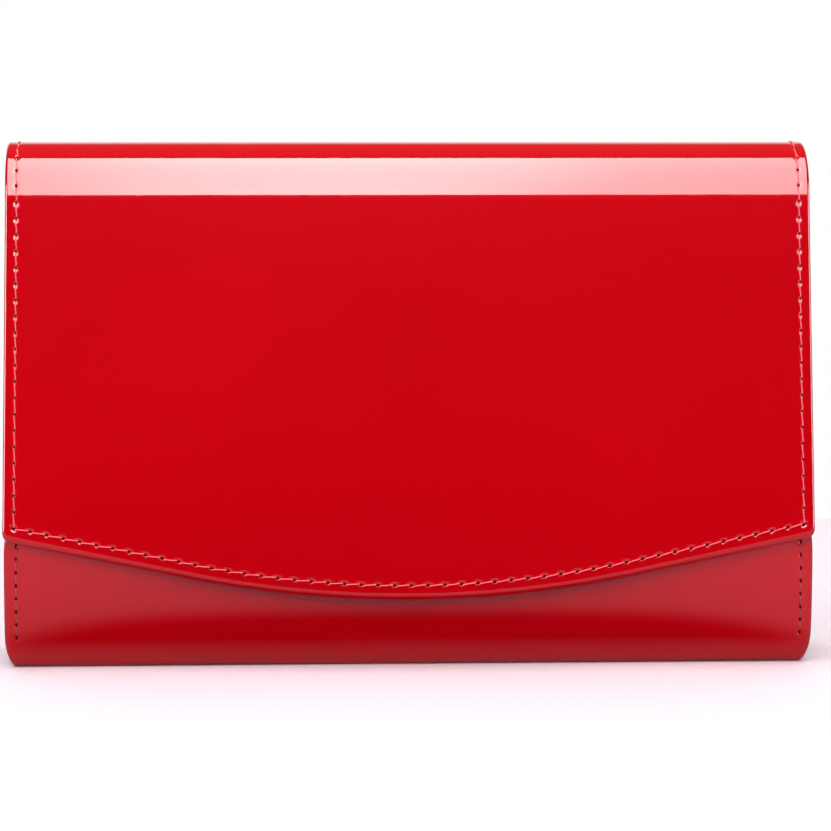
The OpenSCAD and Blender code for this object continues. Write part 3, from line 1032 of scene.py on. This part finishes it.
# %% Linings
inner_deep = 2.1 * mm
inner_start = back_at(fold_z + 0.9 * mm)
flap_lining = under_flap("flap_lining_cloth", 1.9 * mm, inner_start, inner_deep, 0.38 * mm)
painted(flap_lining, lining, "lining", "flap_lining")
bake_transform(flap_lining, "shell", "flap", bend_start, bend_end)

lining_half, lining_span = body_half - 2.5 * mm, (front_at(fold_z - 1.7 * mm), back_at(fold_z + 0.7 * mm))
body_lining = layer("body_lining_cloth", lining_half, lining_span, inner_deep, 0.5 * mm, 120)
painted(body_lining, lining, "lining", "body_lining", "front_lining")
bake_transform(body_lining, "shell", "front", hinge_low, hinge_high)


# %% [markdown]
# The blend's direction is upwards, so the back of the lining would follow the front too. It is
# weighed again by side: what lies behind the middle stays with the shell.

# %% Keep the back half on the shell
def keep_back(piece):
    """Sets the blend weight to nothing behind the middle of the purse."""
    weights = piece.data.attributes["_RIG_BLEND"].data
    for point in piece.data.vertices:
        if point.co.y > middle_y:
            weights[point.index].value = 0.0


for piece in (front, front_thread, body_lining):
    keep_back(piece)

# %% Base pad
bpy.ops.object.select_all(action="DESELECT")
pad_low, pad_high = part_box("base_board")
bpy.ops.mesh.primitive_cube_add(size=1)
base_pad = bpy.context.object
base_pad.name = base_pad.data.name = "base_pad"
for point in base_pad.data.vertices:
    point.co = [a if c < 0 else b for a, b, c in zip(pad_low, pad_high, point.co)]
modify(base_pad, "BEVEL", width=0.6 * mm, segments=3)
smooth(base_pad)
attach(painted(base_pad, lining, "lining", "base_board"), "shell")

# %% [markdown]
# ## Facings and the bound top of the front
#
# A strip of the outer leather faces each side of the mouth, and a narrow strip binds the front's top.

# %% Facings
facing_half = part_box("back_facing")[1].x
strip = {"deep": 2.6 * mm, "thick": 0.8 * mm, "steps": 8, "round_off": 0.3 * mm}
facing_span = back_at(fold_z - 10 * mm), back_at(fold_z + 0.5 * mm)
back_facing = layer("back_facing_strip", facing_half, facing_span, **strip)
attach(painted(back_facing, plain_patent, "patent_leather", "back_facing"), "shell")
facing_span = front_at(fold_z - 1.9 * mm), front_at(fold_z - 12.1 * mm)
front_facing = layer("front_facing_strip", facing_half, facing_span, **strip)
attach(painted(front_facing, plain_patent, "patent_leather", "front_facing"), "front")


# %% Binding
def binding(name, half, mid_s, mid_deep, wide, tall, thick, steps=16):
    """A strip folded over an edge: a U in the side view, its legs tall and its round wide."""
    def rule(u, v):
        return (2 * u - 1) * half, v

    piece = flat(name, spread(12, [0.01, 0.02]), [k / steps for k in range(steps + 1)], rule)
    y0, z0 = line.at(mid_s, mid_deep)
    for point in piece.data.vertices:
        v = point.co.y
        if v < 0.3:
            y, z = wide, -tall * (1 - v / 0.3)
        elif v > 0.7:
            y, z = -wide, -tall * (v - 0.7) / 0.3
        else:
            turn = math.pi * (v - 0.3) / 0.4
            y, z = wide * math.cos(turn), wide * 0.6 * math.sin(turn)
        y += z * math.tan(lean)
        point.co = (point.co.x, y0 + y, z0 + z)
    bpy.ops.object.mode_set(mode="EDIT")
    bpy.ops.mesh.select_all(action="SELECT")
    bpy.ops.mesh.normals_make_consistent(inside=False)
    bpy.ops.object.mode_set(mode="OBJECT")
    return thicken(piece, thick, 0.1 * mm)


top_edge = front_at(fold_z - 1.1 * mm)
top_binding = binding("front_binding", body_half, top_edge, 1.7 * mm, 1.75 * mm, 4 * mm, 0.45 * mm)
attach(painted(top_binding, plain_patent, "edge_leather", "front_top_binding"), "front")

# %% [markdown]
# ## Gussets
#
# At each side a strip of leather joins the front to the back. It folds inwards as a V at the mouth, so
# that the purse closes flat, and bellies out a little at the base. It is one soft piece: its back edge
# keeps to the shell, its front edge follows the front, and it bends between the two as the mouth opens.

# %% Gussets
def gusset(name, side, edge_x, deep, fold_low, fold_top, thick, top_z):
    """A soft V from the back wall to the front wall, at one side."""
    low_z = 2.4 * mm

    def fold_at(z):
        share = min(max((z - 14 * mm) / (top_z - 14 * mm), 0), 1)
        return fold_low + (fold_top - fold_low) * share

    def rule(u, v):
        return u, v

    piece = flat(name, spread(36), [k / 60 for k in range(61)], rule)
    for point in piece.data.vertices:
        u, v, _ = point.co
        z = low_z + (top_z - low_z) * v
        back_y, _ = line.at(line.height("back", z), deep)
        front_y, _ = line.at(line.height("front", z), deep)
        y = back_y + (front_y - back_y) * u
        inward = 1.04 - math.sqrt((2 * u - 1) ** 2 + 0.0016)
        x = edge_x + splay(z) - fold_at(z) * max(inward, 0) ** 1.2
        point.co = (side * x, y, z)
    bpy.ops.object.mode_set(mode="EDIT")
    bpy.ops.mesh.select_all(action="SELECT")
    if side > 0:
        bpy.ops.mesh.flip_normals()
    bpy.ops.object.mode_set(mode="OBJECT")
    return thicken(piece, thick, 0.15 * mm)


lean_start = Vector((0, 14 * mm, fold_z + 0.5 * mm))
lean_end = lean_start + Vector((0, -0.978, 0.209)) * 18 * mm
skin_v = {"edge_x": body_half - 0.8 * mm, "deep": 1.9 * mm, "fold_low": -1.6 * mm}
skin_v |= {"fold_top": 14 * mm, "thick": 0.7 * mm, "top_z": fold_z - 2.9 * mm}
cloth_v = {"edge_x": body_half - 2.0 * mm, "deep": 2.5 * mm, "fold_low": -0.4 * mm}
cloth_v |= {"fold_top": 14.6 * mm, "thick": 0.4 * mm, "top_z": fold_z - 3.8 * mm}
for side, hand in ((-1, "left"), (1, "right")):
    skin = gusset(f"gusset_skin_{hand}", side, **skin_v)
    painted(skin, plain_patent, "patent_leather", f"gusset_{hand}", f"front_gusset_{hand}")
    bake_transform(skin, "shell", "front", lean_start, lean_end)
    cloth = gusset(f"gusset_cloth_{hand}", side, **cloth_v)
    painted(cloth, lining, "lining", f"gusset_lining_{hand}", f"front_gusset_lining_{hand}")
    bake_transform(cloth, "shell", "front", lean_start, lean_end)

# %% [markdown]
# ## Pockets
#
# Inside are a slip pocket on the front and a zip pocket on the back. The slip pocket is a patch of
# lining with a bound top. The zip sits in a leather frame over its woven tape, with a cloth bag below.

# %% Slip pocket
slip_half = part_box("slip_pocket")[1].x
pocket_deep = 2.62 * mm
slip_span = front_at(114 * mm), front_at(52 * mm)
slip = layer("slip_pocket_patch", slip_half, slip_span, pocket_deep, 0.9 * mm, 30, 0.3 * mm)
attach(painted(slip, lining, "lining", "slip_pocket"), "front")
edge_span = front_at(119 * mm), front_at(113.6 * mm)
slip_top = layer("slip_pocket_edge", slip_half + 1 * mm, edge_span, 2.6 * mm, 1.15 * mm, 8, 0.45 * mm)
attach(painted(slip_top, plain_patent, "edge_leather", "slip_pocket_binding"), "front")


# %% Zip frame, tape and bag
def seat_on_back(piece, z, deep):
    """Moves a piece drawn flat, facing +Z, onto the inside of the back wall at a height."""
    y, zz = line.at(line.height("back", z), deep)
    turn = Matrix.Rotation(math.pi / 2 + lean, 4, "X")
    piece.data.transform(Matrix.Translation((0, y, zz)) @ turn)


zip_z = 104 * mm
bpy.ops.object.select_all(action="DESELECT")
bpy.ops.mesh.primitive_plane_add(size=1)
zip_frame = bpy.context.object
zip_frame.name = zip_frame.data.name = "zip_frame_leather"
frame_half = Vector((77, 11.5)) * mm
for point in zip_frame.data.vertices:
    point.co = (math.copysign(frame_half.x, point.co.x), math.copysign(frame_half.y, point.co.y), 0)
bpy.ops.object.mode_set(mode="EDIT")
bpy.ops.mesh.select_all(action="SELECT")
bpy.ops.mesh.inset(thickness=7 * mm)
bpy.ops.mesh.delete(type="FACE")
bpy.ops.mesh.select_all(action="SELECT")
bpy.ops.mesh.bevel(offset=2 * mm, segments=4, affect="VERTICES")
bpy.ops.object.mode_set(mode="OBJECT")
thicken(zip_frame, 1.15 * mm, 0.4 * mm)
seat_on_back(zip_frame, zip_z, 3.78 * mm)
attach(painted(zip_frame, plain_patent, "patent_leather", "zip_frame"), "shell")

tape_span = back_at(97.5 * mm), back_at(110.5 * mm)
zip_tape = layer("zip_tape_cloth", 72 * mm, tape_span, pocket_deep, 0.38 * mm, 8, 0.1 * mm)
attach(painted(zip_tape, tape, "zip_tape", "zip_tape"), "shell")
bag_span = back_at(36.2 * mm), back_at(92.2 * mm)
zip_bag = layer("zip_bag_cloth", 67 * mm, bag_span, pocket_deep, 0.95 * mm, 30, 0.4 * mm)
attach(painted(zip_bag, lining, "lining", "zip_pocket_bag"), "shell")

# %% [markdown]
# ## Metal parts
#
# The zip's teeth, stops, slider and pull and the two magnets already have their true shapes in the
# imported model, so they only need their finish.

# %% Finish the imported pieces
packed_parts = (
    (gold, ("zip_teeth", "zip_stops", "zip_slider", "zip_pull")),
    (nickel, ("front_magnet", "flap_magnet")),
    (film, ("front_magnet_pocket", "flap_magnet_pocket")),
)
for material, names in packed_parts:
    for name in names:
        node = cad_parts[name]
        node.data.materials.clear()
        node.data.materials.append(material)

# %% [markdown]
# ## Floor
#
# The purse stands on pale paper. What the camera sees and what the purse mirrors are two sheets: under
# the seen paper lies an unseen, dimmer one with a painted black shadow patch in front of the purse.
# The curl above the base mirrors that painted shadow and gets no bounced light from it, so its deep
# red there is painted shade and a painted dark reflection.

# %% Paper, and the unseen sheet with the painted shadow patch
def plane(name, low, high, z, finish):
    bpy.ops.object.select_all(action="DESELECT")
    bpy.ops.mesh.primitive_plane_add(size=1)
    piece = bpy.context.object
    piece.name = piece.data.name = name
    for point in piece.data.vertices:
        point.co = (low[0] if point.co.x < 0 else high[0], low[1] if point.co.y < 0 else high[1], z)
    piece.data.materials.append(finish.material)
    return piece


pale = Finish("floor_paper", Roughness=0.6)
pale.put("Specular IOR Level", 0.2)
pale.put("Base Color", pale.mix(pale.noise(3, 2), (0.84, 0.76, 0.82, 1), (0.86, 0.78, 0.84, 1)))
seen_floor = plane("floor", (-2.5, -2.5), (2.5, 0.35), 0, pale)
seen_floor.visible_diffuse = seen_floor.visible_glossy = seen_floor.visible_shadow = False

under = Finish("mirrored_paper_painted_shadow", Roughness=0.9)
under.put("Specular IOR Level", 0.0)
spot = under.node("ShaderNodeSeparateXYZ", {}, {0: under.place})
ahead = spot["Y"] * -1
bow = (spot["X"] / 0.119).sum("POWER", 4).sum("MINIMUM", 1.3)
# The patch is a painted shadow: near black in front of the purse, on a sheet the camera never sees.
painted_shadow_patch = (1 - under.step(ahead + bow * 0.035, 0.048, 0.080)) * under.step(ahead, 0.017, 0.032)
# Outside the patch the sheet is a dimmer copy of the seen paper: a painted dimmer reflection of the floor in
# the purse.
under.put("Base Color", under.mix(painted_shadow_patch, (0.55, 0.51, 0.60, 1), (0.012, 0.006, 0.008, 1)))
under_floor = plane("floor_below_painted_shadow", (-2.5, -2.5), (2.5, 0.35), -0.2 * mm, under)
under_floor.visible_camera = False
